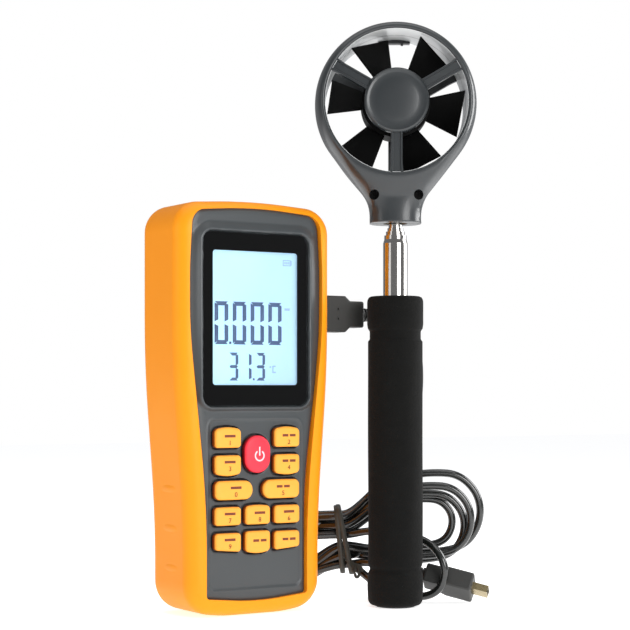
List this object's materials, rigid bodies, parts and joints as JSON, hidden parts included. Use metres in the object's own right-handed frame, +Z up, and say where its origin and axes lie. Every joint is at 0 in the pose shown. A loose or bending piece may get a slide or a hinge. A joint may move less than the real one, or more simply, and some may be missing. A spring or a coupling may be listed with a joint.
{
  "type": "vane anemometer",
  "caption": "Hand-held vane anemometer: an upright meter with display and keypad, joined by a tied lead to a telescopic fan probe with a foam grip",
  "frame": {"origin": "on the table, under the middle of the object without its lead", "axes": "+Z up, the meter's front faces -Y"},
  "size_m": [0.1497, 0.1031, 0.2387],
  "materials": {
    "orange_shell": "moulded ABS, satin",
    "grey_panel": "moulded ABS, fine texture",
    "clear_lens": "clear acrylic",
    "black_print": "screen print",
    "lcd": "lit liquid crystal cell",
    "backlight": "diffuser",
    "circuit_board": "solder mask",
    "chip": "moulded epoxy",
    "dome": "stamped stainless",
    "key_orange": "silicone rubber",
    "key_red": "silicone rubber",
    "battery_skin": "printed can",
    "snap": "vinyl",
    "screw": "blackened screws",
    "nickel": "nickel plated",
    "gold_shell": "flash plated",
    "plug_pvc": "moulded PVC",
    "lead_pvc": "PVC jacket",
    "twist_tie": "wire tie",
    "core_plastic": "moulded ABS",
    "black_foam": "closed cell foam",
    "rod_chrome": "polished",
    "ferrule_brass": "turned",
    "head_plastic": "moulded ABS, satin",
    "bearing_steel": "ground",
    "rotor_black": "moulded",
    "magnet": "ferrite",
    "sensor_black": "epoxy"
  },
  "bodies": {
    "root": {"case_front": "orange_shell", "case_rear": "orange_shell", "front_panel": "grey_panel", "lens_mask": "black_print", "display_lens": "clear_lens", "lcd_glass": "lcd", "lcd_backlight": "backlight", "main_board": "circuit_board", "board_chips": "chip", "key_domes": "dome", "buzzer": "chip", "meter_socket": "nickel", "battery_9v": "battery_skin", "battery_snap": "snap", "case_screws": "screw", "plug_meter_body": "plug_pvc", "plug_meter_shell": "gold_shell", "plug_meter_relief": "plug_pvc", "handle_core": "core_plastic", "foam_grip": "black_foam", "handle_end_cap": "core_plastic", "handle_socket": "nickel", "rod_tube_1": "rod_chrome", "lead_tube_upper": "lead_pvc", "lead_hank": "lead_pvc", "lead_tube_lower": "lead_pvc", "lead_tie": "twist_tie", "plug_free_body": "plug_pvc", "plug_free_shell": "gold_shell", "plug_free_relief": "plug_pvc"},
    "rod_2": {"rod_tube_2": "rod_chrome"},
    "rod_3": {"rod_tube_3": "rod_chrome"},
    "rod_tip": {"rod_tube_4": "rod_chrome"},
    "head": {"head_front": "head_plastic", "head_rear": "head_plastic", "head_screws": "screw", "bearing_front": "bearing_steel", "bearing_rear": "bearing_steel", "flow_sensor": "chip", "temperature_sensor": "sensor_black", "rod_ferrule": "ferrule_brass"},
    "rotor": {"vane_rotor": "rotor_black", "rotor_shaft": "bearing_steel", "rotor_magnet": "magnet"},
    "door": {"battery_door": "orange_shell"},
    "key_hold_cap": {"key_hold": "key_orange"},
    "key_extremes_cap": {"key_extremes": "key_orange"},
    "key_unit_cap": {"key_unit": "key_orange"},
    "key_flow_cap": {"key_flow": "key_orange"},
    "key_light_cap": {"key_light": "key_orange"},
    "key_scale_cap": {"key_scale": "key_orange"},
    "key_read_cap": {"key_read": "key_orange"},
    "key_setup_cap": {"key_setup": "key_orange"},
    "key_record_cap": {"key_record": "key_orange"},
    "key_start_cap": {"key_start": "key_orange"},
    "key_sample_cap": {"key_sample": "key_orange"},
    "key_enter_cap": {"key_enter": "key_orange"},
    "key_power_cap": {"key_power": "key_red"}
  },
  "joints": [
    {"name": "rod_slide_1", "type": "slide", "parent": "root", "child": "rod_2", "axis": [0, 0, 1], "range_m": [0, 0.12]},
    {"name": "rod_slide_2", "type": "slide", "parent": "rod_2", "child": "rod_3", "axis": [0, 0, 1], "range_m": [0, 0.12]},
    {"name": "rod_slide_3", "type": "slide", "parent": "rod_3", "child": "rod_tip", "axis": [0, 0, 1], "range_m": [0, 0.12]},
    {"name": "head_swivel", "type": "hinge", "parent": "rod_tip", "child": "head", "pos_m": [0.03069, -0.00472, 0.165], "axis": [0, 0, 1], "range_deg": [-170, 170]},
    {"name": "rotor_spin", "type": "hinge", "parent": "head", "child": "rotor", "pos_m": [0.03069, -0.00472, 0.2055], "axis": [-0.5299, -0.848, 0], "continuous": true},
    {"name": "battery_door_hinge", "type": "hinge", "parent": "root", "child": "door", "pos_m": [-0.03141, 0.03348, 0.021], "axis": [-1, 0, 0], "range_deg": [0, 45]},
    {"name": "key_hold_press", "type": "slide", "parent": "root", "child": "key_hold_cap", "axis": [0, 1, 0], "range_m": [0, 0.001], "stiffness_N_per_m": 600},
    {"name": "key_extremes_press", "type": "slide", "parent": "root", "child": "key_extremes_cap", "axis": [0, 1, 0], "range_m": [0, 0.001], "stiffness_N_per_m": 600},
    {"name": "key_unit_press", "type": "slide", "parent": "root", "child": "key_unit_cap", "axis": [0, 1, 0], "range_m": [0, 0.001], "stiffness_N_per_m": 600},
    {"name": "key_flow_press", "type": "slide", "parent": "root", "child": "key_flow_cap", "axis": [0, 1, 0], "range_m": [0, 0.001], "stiffness_N_per_m": 600},
    {"name": "key_light_press", "type": "slide", "parent": "root", "child": "key_light_cap", "axis": [0, 1, 0], "range_m": [0, 0.001], "stiffness_N_per_m": 600},
    {"name": "key_scale_press", "type": "slide", "parent": "root", "child": "key_scale_cap", "axis": [0, 1, 0], "range_m": [0, 0.001], "stiffness_N_per_m": 600},
    {"name": "key_read_press", "type": "slide", "parent": "root", "child": "key_read_cap", "axis": [0, 1, 0], "range_m": [0, 0.001], "stiffness_N_per_m": 600},
    {"name": "key_setup_press", "type": "slide", "parent": "root", "child": "key_setup_cap", "axis": [0, 1, 0], "range_m": [0, 0.001], "stiffness_N_per_m": 600},
    {"name": "key_record_press", "type": "slide", "parent": "root", "child": "key_record_cap", "axis": [0, 1, 0], "range_m": [0, 0.001], "stiffness_N_per_m": 600},
    {"name": "key_start_press", "type": "slide", "parent": "root", "child": "key_start_cap", "axis": [0, 1, 0], "range_m": [0, 0.001], "stiffness_N_per_m": 600},
    {"name": "key_sample_press", "type": "slide", "parent": "root", "child": "key_sample_cap", "axis": [0, 1, 0], "range_m": [0, 0.001], "stiffness_N_per_m": 600},
    {"name": "key_enter_press", "type": "slide", "parent": "root", "child": "key_enter_cap", "axis": [0, 1, 0], "range_m": [0, 0.001], "stiffness_N_per_m": 600},
    {"name": "key_power_press", "type": "slide", "parent": "root", "child": "key_power_cap", "axis": [0, 1, 0], "range_m": [0, 0.001], "stiffness_N_per_m": 600}
  ]
}
